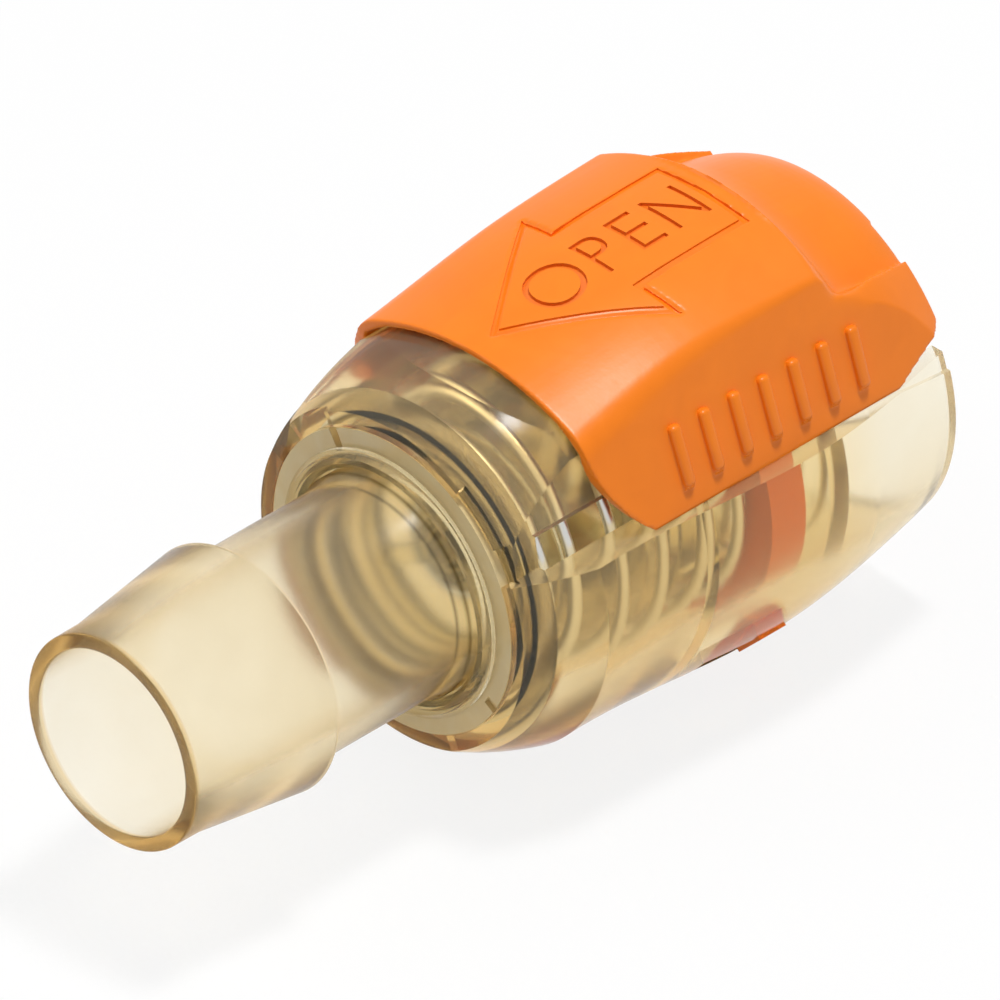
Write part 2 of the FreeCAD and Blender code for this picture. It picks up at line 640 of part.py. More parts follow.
def scoop():
    """Thumb scoop between the ears, down to a floor that is turned about the axis."""
    floor = latch_points(SCOOP_FLOOR)
    end_x = MOUTH_X + 1
    top = 2 * SHELL_IN_R
    end_r = floor[-1][1]
    cut = turned(curve(floor) + lines([floor[-1], (end_x, end_r), (end_x, top), (floor[0][0], top),
                                       floor[0]]), 2 * SCOOP_HALF_ANGLE)
    return rolled(cut, -SCOOP_HALF_ANGLE)


def latch_cavity():
    """Space over the dome and under the roof and the scoop."""
    lip_r = DOME_R + LATCH_TOP_GAP
    under_floor = latch_points(SCOOP_FLOOR[3:], LATCH_WALL)
    high_x = LATCH_FRONT_X + ARROW_HEAD_LENGTH
    inside = [(LATCH_FRONT_X - 1, lip_r), (DOME_END_X, lip_r), (high_x, SHELL_IN_R + CAVITY_RISE)]
    inside = inside + under_floor
    end_x = MOUTH_X + 1
    end_r = under_floor[-1][1]
    cavity = turned(curve(inside) + lines([
        inside[-1],
        (end_x, end_r),
        (end_x, 0),
        (LATCH_FRONT_X - 1, 0),
        inside[0],
    ]))
    prism = lean_prism(LATCH_FRONT_X - 2, MOUTH_X + 2, latch_inner_foot(), 0)
    return cavity.common(prism)


def arrow_groove():
    """Engraved outline of the arrow that points at the barb."""
    tip_x = LATCH_FRONT_X + ARROW_START
    head_x = tip_x + ARROW_HEAD_LENGTH
    neck_x = head_x - ARROW_BARB_SWEEP
    tail_x = tip_x + ARROW_LENGTH
    corners = [
        (tip_x, 0),
        (head_x, -ARROW_HEAD_HALF),
        (neck_x, -ARROW_SHAFT_HALF),
        (tail_x, -ARROW_SHAFT_HALF),
        (tail_x, ARROW_SHAFT_HALF),
        (neck_x, ARROW_SHAFT_HALF),
        (head_x, ARROW_HEAD_HALF),
    ]
    bars = []
    for a, b in zip(corners, corners[1:] + corners[:1]):
        length = math.hypot(b[0] - a[0], b[1] - a[1]) + ENGRAVE_WIDTH
        angle = math.degrees(math.atan2(b[1] - a[1], b[0] - a[0]))
        half = ENGRAVE_WIDTH / 2
        bar = block(-half, length - half, -half, half, 0, 2 * SHELL_IN_R)
        bar.rotate(Vector(0, 0, 0), Vector(0, 0, 1), angle)
        bar.translate(Vector(a[0], a[1], 0))
        bars.append(bar)
    return bars[0].fuse(bars[1:]).cut(latch_envelope(ENGRAVE_DEPTH)[0])


def grip_bars():
    """Raised upright bars on both wings, leaning with them."""
    prism = lean_prism(LATCH_FRONT_X, MOUTH_X, WING_FOOT_Y + GRIP_BAR_HEIGHT, 0)
    reach = 2 * SHELL_IN_R
    bars = []
    for i in range(GRIP_BARS):
        x0 = LATCH_FRONT_X + GRIP_START + GRIP_PITCH * i - GRIP_BAR_WIDTH / 2
        bar = block(x0, x0 + GRIP_BAR_WIDTH, -reach, reach, LEDGE_Z + GRIP_LOW,
                    LEDGE_Z + GRIP_LOW + GRIP_REACH)
        bars.append(bar.common(prism))
    return bars


def latch_ribs():
    """Two ribs under the roof that clasp the lock ring's lug."""
    half = LUG_WIDTH / 2
    low_z = RING_R + LUG_TOP_GAP
    top_z = 2 * SHELL_IN_R
    ribs = [
        block(LUG_X - FACE_GAP - LATCH_WALL, LUG_X - FACE_GAP, -half, half, low_z, top_z),
        block(LUG_END_X + FACE_GAP, LUG_END_X + FACE_GAP + LATCH_WALL, -half, half, low_z, top_z),
    ]
    return [rib.common(latch_envelope(LATCH_WALL / 2)[0]) for rib in ribs]


def wing_trims():
    """Cuts for the swept front corners and the pointed rear corners of the wings."""
    reach = 2 * SHELL_IN_R
    sweep = [(LATCH_FRONT_X + along, LEDGE_Z + height) for along, height in WING_SWEEP]
    front_x = LATCH_FRONT_X - 2
    front = slab(curve(sweep) + lines([
        sweep[-1],
        (sweep[-1][0], 0),
        (front_x, 0),
        (front_x, sweep[0][1]),
        sweep[0],
    ]), reach)
    corner_x = LATCH_FRONT_X + WING_LENGTH
    point_x = LATCH_FRONT_X + LATCH_BACK[-1][0]
    point_z = LEDGE_Z + WING_POINT
    end_x = MOUTH_X + 2
    rear = slab(outline([
        (corner_x, 0),
        (corner_x, LEDGE_Z),
        (point_x, point_z),
        (point_x, SHELL_IN_R),
        (end_x, SHELL_IN_R),
        (end_x, 0),
    ]), reach)
    return [front, rear]


def slide_latch():
    """Orange thumb latch over the dome, with its wings, ears, scoop and engraved arrow."""
    reach = 2 * SHELL_IN_R
    solid = latch_form().cut(scoop()).fuse(grip_bars())
    below = block(LATCH_FRONT_X - 2, MOUTH_X + 2, -reach, reach, -reach, LEDGE_Z + WING_GAP_Z)
    lip = latch_envelope(LIP_THICK)
    over_dome = dome_sides(SLIDE_GAP, DOME_END_X + TRAVEL + SLIDE_GAP)
    round_dome = Part.makeCylinder(DOME_R + LATCH_TOP_GAP, MOUTH_X, Vector(0, 0, 0), Vector(1, 0, 0))
    cavity = latch_cavity().fuse(over_dome.common(round_dome)).common(lip[0].fuse(lip[1]))
    for cut in [cavity, below, arrow_groove()] + wing_trims():
        solid = solid.cut(cut)
    return solid.fuse(latch_ribs()).removeSplitter()


def latch_spring():
    """Large spring that returns the latch, from the front wall to the lock ring."""
    return coil(WALL_BACK_X, RING_X, SPRING_R, SPRING_WIRE, SPRING_TURNS, SPRING_END_TURNS,
                SPRING_START)


def valve_guide():
    """Spider that guides the valve stem: ring, hub and spokes."""
    spider = ring(SPIDER_X, SPIDER_END_X, BORE_R + SPIDER_STEP, SPIDER_R)
    hub_end_x = HEAD_X - VALVE_TRAVEL - 2 * SLIDE_GAP
    for i in range(SPOKE_COUNT):
        spoke = block(SPOKE_X, SPIDER_END_X, -SPOKE_WIDTH / 2, SPOKE_WIDTH / 2,
                      STEM_R + HUB_WALL / 2, BORE_R + SPIDER_WALL / 2)
        spider = spider.fuse(rolled(spoke, 360.0 / SPOKE_COUNT * i))
    spider = spider.fuse(ring(SPOKE_X, hub_end_x, STEM_R + RUN_FIT, HUB_R))
    return spider.removeSplitter()


def valve_spring():
    """Spring that shuts the valve, from the spider's spokes to the valve's head."""
    return coil(SPIDER_END_X, HEAD_X, VALVE_SPRING_R, VALVE_SPRING_WIRE, VALVE_SPRING_TURNS,
                VALVE_SPRING_END_TURNS)


def valve_poppet():
    """Valve head with its stem, seal groove and the fins that the plug half pushes."""
    head_r = THROAT_R + HEAD_OVER_SEAL
    lip_r = THROAT_R - LIP_THROAT_GAP
    groove_r = THROAT_R - SEAL_R
    groove_x = SEAL_X - SEAL_R
    head = turned(outline([
        (SPOKE_X + STEM_INSET, 0),
        (SPOKE_X + STEM_INSET, STEM_R),
        (HEAD_X, STEM_R),
        (HEAD_X, head_r),
        (groove_x, head_r),
        (groove_x, groove_r),
        (LIP_X, groove_r),
        (LIP_X, lip_r),
        (LIP_END_X, lip_r),
        (LIP_END_X, 0),
    ]))
    fin_r = THROAT_R - FIN_THROAT_GAP
    for angle in (0, 90):
        fin = block(LIP_END_X - LIP_LENGTH / 2, LIP_END_X + FIN_LENGTH,
                    -FIN_THICK / 2, FIN_THICK / 2, -fin_r, fin_r)
        head = head.fuse(rolled(fin, angle))
    return head.removeSplitter()


def poppet_seal():
    """Ring seal in the groove of the valve's head, just off its seat."""
    return Part.makeTorus(THROAT_R, SEAL_R, Vector(SEAL_X, 0, 0), Vector(1, 0, 0))


PIECES = {
    "hose_barb": hose_barb,
    "barb_seal": barb_seal,
    "front_clip": front_clip,
    "outer_housing": outer_housing,
    "inner_body": inner_body,
    "slide_latch": slide_latch,
    "lock_ring": lock_ring,
    "latch_spring": latch_spring,
    "valve_guide": valve_guide,
    "valve_spring": valve_spring,
    "valve_poppet": valve_poppet,
    "poppet_seal": poppet_seal,
}

os.makedirs("parts", exist_ok=True)
for name, make in PIECES.items():
    shape = make()
    print(name, shape.isValid(), len(shape.Solids), round(shape.Volume, 1))
    shape.exportStep("parts/" + name + ".step")
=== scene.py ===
import math

import bpy
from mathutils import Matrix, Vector


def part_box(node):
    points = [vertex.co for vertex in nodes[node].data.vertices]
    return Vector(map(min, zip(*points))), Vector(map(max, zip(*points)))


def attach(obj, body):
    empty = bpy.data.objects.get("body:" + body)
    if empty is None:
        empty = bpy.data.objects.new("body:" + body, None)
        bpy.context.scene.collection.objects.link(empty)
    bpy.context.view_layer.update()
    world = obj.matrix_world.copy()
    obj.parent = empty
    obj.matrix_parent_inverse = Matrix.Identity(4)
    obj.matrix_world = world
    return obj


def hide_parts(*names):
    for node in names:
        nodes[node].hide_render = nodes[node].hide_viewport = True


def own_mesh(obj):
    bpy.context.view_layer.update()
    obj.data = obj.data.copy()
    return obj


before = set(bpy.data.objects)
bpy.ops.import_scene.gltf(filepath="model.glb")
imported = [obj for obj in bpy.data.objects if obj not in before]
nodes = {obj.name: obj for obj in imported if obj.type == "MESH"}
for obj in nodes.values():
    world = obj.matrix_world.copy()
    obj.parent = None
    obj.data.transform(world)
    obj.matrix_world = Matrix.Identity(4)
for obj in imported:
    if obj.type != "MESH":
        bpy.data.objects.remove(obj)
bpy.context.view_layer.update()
mm = 0.001

# The photograph is a parallel view, from 45 degrees beside the hose end and 35 degrees up.
# The camera stands far off with a long lens, so that it sees nearly the same.
view_width = 53.6 * mm
lens_mm = 1400.0
sensor_mm = 36.0
aim = Vector((30.42, 1.25, 0.0)) * mm
towards_camera = Vector((-1, -1, 1)).normalized()
distance = lens_mm / sensor_mm * view_width
camera_data = bpy.data.cameras.new("camera")
camera_data.lens = lens_mm
camera_data.sensor_width = sensor_mm
camera_data.clip_start = 0.1
camera_data.clip_end = 2 * distance
camera = bpy.data.objects.new("camera", camera_data)
camera.location = aim + towards_camera * distance
camera.rotation_euler = (-towards_camera).to_track_quat("-Z", "Y").to_euler()
bpy.context.scene.collection.objects.link(camera)
bpy.context.scene.camera = camera
bpy.context.scene.view_settings.view_transform = "Standard"

# A white table top under the coupling, which rests on the belly of its housing.
# It shows as white to the camera and through the clear plastic, and keeps a faint shadow.
table_size = 4.0
table_middle_x = 30 * mm
table_gap = 0.02 * mm
table_white = 0.86
table_glow = 0.85
floor_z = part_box("outer_housing")[0].z - table_gap
bpy.ops.object.select_all(action="DESELECT")
bpy.ops.mesh.primitive_plane_add(size=table_size, location=(table_middle_x, 0, floor_z))
floor = bpy.context.object
floor.name = "floor"


def reckon(tree, operation, first, second):
    """Maths on one socket and either another socket or a plain number."""
    result = tree.nodes.new("ShaderNodeMath")
    result.operation = operation
    tree.links.new(first, result.inputs[0])
    if isinstance(second, float):
        result.inputs[1].default_value = second
    else:
        tree.links.new(second, result.inputs[1])
    return result.outputs[0]


floor_paint = bpy.data.materials.new("white_table")
floor_paint.use_nodes = True
tree = floor_paint.node_tree
tree.nodes.clear()
surface = tree.nodes.new("ShaderNodeOutputMaterial")
matt = tree.nodes.new("ShaderNodeBsdfDiffuse")
matt.inputs["Color"].default_value = (table_white, table_white, table_white, 1)
glow = tree.nodes.new("ShaderNodeEmission")
glow.inputs["Color"].default_value = (1, 1, 1, 1)
glow.inputs["Strength"].default_value = 1.0
rays = tree.nodes.new("ShaderNodeLightPath").outputs
seen = reckon(tree, "MAXIMUM", rays["Is Camera Ray"], rays["Is Glossy Ray"])
share = reckon(tree, "MULTIPLY", seen, table_glow)
seen_through = reckon(tree, "MAXIMUM", share, rays["Is Transmission Ray"])
blend = tree.nodes.new("ShaderNodeMixShader")
tree.links.new(seen_through, blend.inputs[0])
tree.links.new(matt.outputs[0], blend.inputs[1])
tree.links.new(glow.outputs[0], blend.inputs[2])
tree.links.new(blend.outputs[0], surface.inputs["Surface"])
floor.data.materials.append(floor_paint)

# Soft white studio: an even world, a broad lamp high over the barb and a weaker one behind.
# The world lights the object dimly. Gloss shows it brighter, and the clear plastic shows it white.
world_light = 0.36
world_gloss = 0.55
world_white = 1.0
world = bpy.data.worlds.new("studio")
bpy.context.scene.world = world
world.use_nodes = True
tree = world.node_tree
studio = tree.nodes["Background"]
studio.inputs["Color"].default_value = (1, 1, 1, 1)
rays = tree.nodes.new("ShaderNodeLightPath").outputs
gloss = reckon(tree, "MULTIPLY", rays["Is Glossy Ray"], world_gloss)
seen = reckon(tree, "MAXIMUM", rays["Is Camera Ray"], gloss)
seen_through = reckon(tree, "MAXIMUM", seen, rays["Is Transmission Ray"])
brightness = tree.nodes.new("ShaderNodeMapRange")
brightness.inputs["To Min"].default_value = world_light
brightness.inputs["To Max"].default_value = world_white
tree.links.new(seen_through, brightness.inputs["Value"])
tree.links.new(brightness.outputs["Result"], studio.inputs["Strength"])
for lamp_name, place, power, size in (
    ("key", (0.087, -0.057, 0.49), 1.8, 0.08),
    ("rim", (-0.25, 0.30, 0.35), 0.5, 0.30),
):
    lamp_data = bpy.data.lights.new(lamp_name, "AREA")
    lamp_data.energy = power
    lamp_data.size = size
    lamp = bpy.data.objects.new(lamp_name, lamp_data)
    lamp.location = place
    lamp.rotation_euler = (aim - Vector(place)).to_track_quat("-Z", "Y").to_euler()
    bpy.context.scene.collection.objects.link(lamp)

# The hose barb is one clear amber moulding: a plain stem with a sharp ridge, its collar, and
# the tail that the inner body holds. It is turned in shape, with its edges just broken, and the
# amber plastic is nearly white where it is thin and honey coloured where light runs far in it;
# part of that honey is painted shade in its colour, towards its edges as seen, on its mouth and at
# its collar.
barb_length = 27.0
bore_r = 5.5
mouth_r = 6.38
stem_r = 6.4
ridge_r = 7.38
collar_r = 6.7
seal_groove_r = 6.15
tail_r = 7.15
shelf_r = 6.45
barb_rings = (
    (0.0, bore_r),
    (0.0, mouth_r),
    (2.2, stem_r),
    (9.7, ridge_r),
    (10.2, stem_r),
    (19.6, stem_r),
    (20.3, collar_r),
    (21.675, collar_r),
    (21.675, seal_groove_r),
    (22.575, seal_groove_r),
    (22.575, collar_r),
    (23.95, collar_r),
    (23.95, tail_r),
    (barb_length, tail_r),
    (barb_length, shelf_r),
    (24.6, shelf_r),
    (24.6, bore_r),
)
barb_facets = 160
broken_edge = 0.13
bpy.ops.object.select_all(action="DESELECT")
bpy.ops.mesh.primitive_circle_add(
    vertices=barb_facets,
    radius=barb_rings[0][1] * mm,
    location=(barb_rings[0][0] * mm, 0, 0),
    rotation=(0, math.pi / 2, 0),
)
barb = bpy.context.object
barb.name = "barb"
bpy.ops.object.transform_apply(location=True, rotation=True, scale=True)
bpy.ops.object.mode_set(mode="EDIT")
bpy.ops.mesh.select_all(action="SELECT")
for (x0, r0), (x1, r1) in zip(barb_rings, barb_rings[1:] + barb_rings[:1]):
    bpy.ops.mesh.extrude_region_move(TRANSFORM_OT_translate={"value": ((x1 - x0) * mm, 0, 0)})
    bpy.ops.transform.resize(value=(1, r1 / r0, r1 / r0), center_override=(x1 * mm, 0, 0))
bpy.ops.object.mode_set(mode="OBJECT")


def weld(gap):
    """Merge the doubled points of the active piece and turn its faces outwards."""
    bpy.ops.object.mode_set(mode="EDIT")
    bpy.ops.mesh.select_all(action="SELECT")
    bpy.ops.mesh.remove_doubles(threshold=gap * mm)
    bpy.ops.mesh.normals_make_consistent(inside=False)
    bpy.ops.object.mode_set(mode="OBJECT")


weld(0.002)
edges = barb.modifiers.new("broken_edges", "BEVEL")
edges.limit_method = "ANGLE"
edges.angle_limit = math.radians(25)
edges.width = broken_edge * mm
edges.segments = 3
bpy.ops.object.modifier_apply(modifier=edges.name)
bpy.ops.object.shade_smooth_by_angle(angle=math.radians(30))

flow_in_relief = 3.0
moulded_surface = bpy.data.node_groups.new("moulded_surface", "ShaderNodeTree")
sockets = moulded_surface.interface
for socket_name, start_value in (
    ("Flow Size", 300.0),
    ("Grain Size", 3000.0),
    ("Least Roughness", 0.1),
    ("Most Roughness", 0.2),
):
    socket = sockets.new_socket(socket_name, in_out="INPUT", socket_type="NodeSocketFloat")
    socket.default_value = start_value
for socket_name in ("Flow", "Roughness", "Height"):
    sockets.new_socket(socket_name, in_out="OUTPUT", socket_type="NodeSocketFloat")
given = moulded_surface.nodes.new("NodeGroupInput")
made = moulded_surface.nodes.new("NodeGroupOutput")
place = moulded_surface.nodes.new("ShaderNodeTexCoord")
flow = moulded_surface.nodes.new("ShaderNodeTexNoise")
flow.inputs["Detail"].default_value = 3.0
flow.inputs["Distortion"].default_value = 0.8
grain = moulded_surface.nodes.new("ShaderNodeTexNoise")
grain.inputs["Detail"].default_value = 2.0
rough = moulded_surface.nodes.new("ShaderNodeMapRange")
height = moulded_surface.nodes.new("ShaderNodeMath")
height.operation = "MULTIPLY_ADD"
height.inputs[1].default_value = flow_in_relief
link = moulded_surface.links.new
link(place.outputs["Object"], flow.inputs["Vector"])
link(place.outputs["Object"], grain.inputs["Vector"])
link(given.outputs["Flow Size"], flow.inputs["Scale"])
link(given.outputs["Grain Size"], grain.inputs["Scale"])
link(flow.outputs["Fac"], rough.inputs["Value"])
link(given.outputs["Least Roughness"], rough.inputs["To Min"])
link(given.outputs["Most Roughness"], rough.inputs["To Max"])
link(flow.outputs["Fac"], height.inputs[0])
link(grain.outputs["Fac"], height.inputs[2])
link(flow.outputs["Fac"], made.inputs["Flow"])
link(rough.outputs["Result"], made.inputs["Roughness"])
link(height.outputs["Value"], made.inputs["Height"])


def ramp(tree, stops):
    """Colour ramp through the given places and colours."""
    colours = tree.nodes.new("ShaderNodeValToRGB")
    while len(colours.color_ramp.elements) < len(stops):
        colours.color_ramp.elements.new(0.5)
    for element, (place, colour) in zip(colours.color_ramp.elements, stops):
        element.position = place
        element.color = (*colour, 1)
    return colours


def tinted(tree, colour, tint):
    """One colour seen through another."""
    both = tree.nodes.new("ShaderNodeMix")
    both.data_type = "RGBA"
    both.blend_type = "MULTIPLY"
    both.inputs["Factor"].default_value = 1.0
    tree.links.new(colour, both.inputs["A"])
    tree.links.new(tint, both.inputs["B"])
    return both.outputs["Result"]


def moulding(name, light, deep, flow_size, grain_size, roughness, bump):
    """Moulded plastic whose colour and gloss drift along the flow of the melt."""
    material = bpy.data.materials.new(name)
    material.use_nodes = True
    tree = material.node_tree
    shader = tree.nodes["Principled BSDF"]
    group = tree.nodes.new("ShaderNodeGroup")
    group.node_tree = moulded_surface
    group.inputs["Flow Size"].default_value = flow_size
    group.inputs["Grain Size"].default_value = grain_size
    group.inputs["Least Roughness"].default_value = roughness[0]
    group.inputs["Most Roughness"].default_value = roughness[1]
    colour = ramp(tree, ((0.3, deep), (0.7, light)))
    relief = tree.nodes.new("ShaderNodeBump")
    relief.inputs["Strength"].default_value = bump
    relief.inputs["Distance"].default_value = 0.01 * mm
    tree.links.new(group.outputs["Flow"], colour.inputs["Fac"])
    tree.links.new(colour.outputs["Color"], shader.inputs["Base Color"])
    tree.links.new(group.outputs["Roughness"], shader.inputs["Roughness"])
    tree.links.new(group.outputs["Height"], relief.inputs["Height"])
    tree.links.new(relief.outputs["Normal"], shader.inputs["Normal"])
    return material


def clear_moulding(name, middle, edge_shade, density, clarity, roughness):
    """Clear plastic that is palest where it is seen square on, with painted honey shade towards its
    edges as seen.
    """
    material = moulding(
        name,
        light=clear,
        deep=(0.97, 0.96, 0.94),
        flow_size=260,
        grain_size=2500,
        roughness=roughness,
        bump=0.25,
    )
    tree = material.node_tree
    shader = tree.nodes["Principled BSDF"]
    shader.inputs["Transmission Weight"].default_value = clarity
    shader.inputs["IOR"].default_value = 1.2
    # Painted shade: the base colour deepens to honey as the surface turns edge-on to the view,
    # standing in for light that runs far in the plastic.
    facing_shade_mask = tree.nodes.new("ShaderNodeLayerWeight")
    facing_shade_mask.inputs["Blend"].default_value = 0.5
    tint = ramp(tree, ((0.45, middle), (0.95, edge_shade)))
    drift = shader.inputs["Base Color"].links[0].from_socket
    tree.links.new(facing_shade_mask.outputs["Facing"], tint.inputs["Fac"])
    tree.links.new(tinted(tree, tint.outputs["Color"], drift), shader.inputs["Base Color"])
    honey = tree.nodes.new("ShaderNodeVolumeAbsorption")
    honey.inputs["Color"].default_value = (0.86, 0.66, 0.18, 1)
    honey.inputs["Density"].default_value = density
    tree.links.new(honey.outputs[0], tree.nodes["Material Output"].inputs["Volume"])
    return material


def shade_along(material, length, stops):
    """Another tint at each distance along the axis: painted shade, deeper honey where light crosses
    more plastic and dark in a tight joint.
    """
    tree = material.node_tree
    shader = tree.nodes["Principled BSDF"]
    before = shader.inputs["Base Color"].links[0].from_socket
    place = tree.nodes.new("ShaderNodeTexCoord")
    apart = tree.nodes.new("ShaderNodeSeparateXYZ")
    along = tree.nodes.new("ShaderNodeMapRange")
    along.inputs["From Max"].default_value = length * mm
    painted_shades = ramp(tree, [(x / length, colour) for x, colour in stops])
    tree.links.new(place.outputs["Object"], apart.inputs["Vector"])
    tree.links.new(apart.outputs["X"], along.inputs["Value"])
    tree.links.new(along.outputs["Result"], painted_shades.inputs["Fac"])
    tree.links.new(tinted(tree, before, painted_shades.outputs["Color"]), shader.inputs["Base Color"])


def mould_in(piece, plastic):
    """Give a piece one plastic all over."""
    piece.data.materials.clear()
    piece.data.materials.append(plastic)


clear = (1.0, 1.0, 1.0)
# Painted shade: the barb's mouth end face is tinted deeper honey, for light that runs along its wall.
mouth_shade = (0.86, 0.68, 0.40)
# Painted shade: a dark ring on the collar where it meets the nose, for the shadow in that tight gap.
joint_shade = (0.16, 0.13, 0.08)
pale_amber = clear_moulding(
    "pale_amber_plastic",
    middle=(1.0, 0.97, 0.885),
    edge_shade=(0.76, 0.52, 0.18),
    density=130.0,
    clarity=0.96,
    roughness=(0.17, 0.26),
)
shade_along(
    pale_amber,
    barb_length,
    (
        (0.0, mouth_shade),
        (0.15, mouth_shade),
        (0.3, clear),
        (20.1, clear),
        (20.2, joint_shade),
        (20.31, joint_shade),
        (20.4, clear),
    ),
)
mould_in(barb, pale_amber)
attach(barb, "body")
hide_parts("hose_barb")

# Two ring seals of pale soft elastomer: one squeezed between the barb and the nose bore,
# one in the groove of the valve's head. They are moulded rings with a fine matt skin.
pale_seal = moulding(
    "pale_elastomer",
    light=(0.80, 0.76, 0.64),
    deep=(0.72, 0.67, 0.54),
    flow_size=500,
    grain_size=6000,
    roughness=(0.45, 0.6),
    bump=0.5,
)
for name in ("barb_seal", "poppet_seal"):
    mould_in(nodes[name], pale_seal)

# The inner body, the housing round it and the valve are moulded in the same clear amber as the
# barb. They are pushed into one another, and the nose comes out through the housing's front wall.
housing_length = 53.0
nested_wall_shade = (1.0, 0.93, 0.78)
honey_amber = clear_moulding(
    "honey_amber_plastic",
    middle=(1.0, 0.97, 0.87),
    edge_shade=(0.93, 0.72, 0.36),
    density=125.0,
    clarity=0.93,
    roughness=(0.11, 0.20),
)
# Painted shade along the housing: deeper honey at the front, where light crosses the nested walls,
# and paler on the skirt behind.
shade_along(honey_amber, housing_length, ((0.0, nested_wall_shade), (43.0, nested_wall_shade), (47.0, clear)))
deep_amber = clear_moulding(
    "deep_amber_plastic",
    middle=(1.0, 0.965, 0.82),
    edge_shade=(0.96, 0.82, 0.52),
    density=50.0,
    clarity=0.97,
    roughness=(0.16, 0.26),
)
mould_in(nodes["outer_housing"], honey_amber)
for name in ("inner_body", "valve_guide", "valve_poppet"):
    mould_in(nodes[name], deep_amber)

# The split snap ring holds the nose in the front wall. It is moulded in a cloudier amber, so
# it shows as a honey coloured band in the recess of the front face.
cloudy_amber = moulding(
    "cloudy_amber_plastic",
    light=(1.0, 0.82, 0.46),
    deep=(0.97, 0.75, 0.38),
    flow_size=400,
    grain_size=3000,
    roughness=(0.12, 0.22),
    bump=0.3,
)
shader = cloudy_amber.node_tree.nodes["Principled BSDF"]
shader.inputs["Transmission Weight"].default_value = 0.3
shader.inputs["Specular IOR Level"].default_value = 0.3
mould_in(nodes["front_clip"], cloudy_amber)

# Two compression springs of drawn stainless wire with closed ends: the large one round the
# inner body returns the latch, the small one between the guide and the head shuts the valve.
points_in_turn = 32
closed_pitch = 2.1
wire_steel = bpy.data.materials.new("drawn_stainless_wire")
wire_steel.use_nodes = True
tree = wire_steel.node_tree
shader = tree.nodes["Principled BSDF"]
shader.inputs["Metallic"].default_value = 1.0
place = tree.nodes.new("ShaderNodeTexCoord")
drawn = tree.nodes.new("ShaderNodeTexNoise")
drawn.inputs["Scale"].default_value = 1500.0
drawn.inputs["Detail"].default_value = 4.0
sheen = ramp(tree, ((0.0, (0.80, 0.80, 0.76)), (1.0, (0.92, 0.92, 0.88))))
worn = tree.nodes.new("ShaderNodeMapRange")
worn.inputs["To Min"].default_value = 0.25
worn.inputs["To Max"].default_value = 0.42
tree.links.new(place.outputs["Object"], drawn.inputs["Vector"])
tree.links.new(drawn.outputs["Fac"], sheen.inputs["Fac"])
tree.links.new(drawn.outputs["Fac"], worn.inputs["Value"])
tree.links.new(sheen.outputs["Color"], shader.inputs["Base Color"])
tree.links.new(worn.outputs["Result"], shader.inputs["Roughness"])


def pick(piece):
    """Select one piece alone, for the operators that follow."""
    bpy.ops.object.select_all(action="DESELECT")
    piece.select_set(True)
    bpy.context.view_layer.objects.active = piece


def coil(name, x0, x1, mean_r, wire_r, turns, closed, start):
    """Closed-ended spring of round wire along the axis, as a mesh."""
    path = bpy.data.curves.new(name, "CURVE")
    path.dimensions = "3D"
    path.bevel_depth = wire_r * mm
    path.bevel_resolution = 3
    path.use_fill_caps = True
    path.resolution_u = 2
    spline = path.splines.new("NURBS")
    steps = int(turns * points_in_turn)
    spline.points.add(steps)
    first = x0 + wire_r
    last = x1 - wire_r
    step_in = closed_pitch * wire_r * closed
    for i in range(steps + 1):
        turn = turns * i / steps
        along = (turn - closed) / (turns - 2 * closed)
        x = first + step_in + (last - first - 2 * step_in) * along
        if turn < closed:
            x = first + step_in * turn / closed
        if turn > turns - closed:
            x = last - step_in * (turns - turn) / closed
        angle = 2 * math.pi * (turn + start)
        y = mean_r * math.sin(angle)
        z = mean_r * math.cos(angle)
        spline.points[i].co = (x * mm, y * mm, z * mm, 1)
    spline.order_u = 4
    spline.use_endpoint_u = True
    wound = bpy.data.objects.new(name, path)
    bpy.context.scene.collection.objects.link(wound)
    pick(wound)
    bpy.ops.object.convert(target="MESH")
    weld(0.001)
    bpy.ops.object.shade_smooth_by_angle(angle=math.radians(50))
    return bpy.context.object


for name, node, x0, x1, mean_r, wire_r, turns, closed, start, joint, travel in (
    ("return_spring", "latch_spring", 23.4, 38.9, 9.075, 0.325, 6.4, 1.0, 0.25, "latch_slide", 3.6),
    ("shutting_spring", "valve_spring", 25.8, 31.14, 3.405, 0.225, 3.5, 0.5, 0.0, "valve_slide", 3.0),
):
    spring = coil(name, x0, x1, mean_r, wire_r, turns, closed, start)
    spring.data.materials.append(wire_steel)
    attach(spring, "body")
    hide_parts(node)
    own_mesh(spring)

# The lock ring and the slide latch are moulded in one opaque orange plastic with a satin skin.
# The ring is seen through the housing, where only its band and its two guide keys show.
orange = moulding(
    "orange_moulding",
    light=(0.93, 0.222, 0.008),
    deep=(0.88, 0.205, 0.007),
    flow_size=350,
    grain_size=5000,
    roughness=(0.30, 0.37),
    bump=0.3,
)
orange.node_tree.nodes["Principled BSDF"].inputs["Specular IOR Level"].default_value = 0.32
mould_in(nodes["lock_ring"], orange)

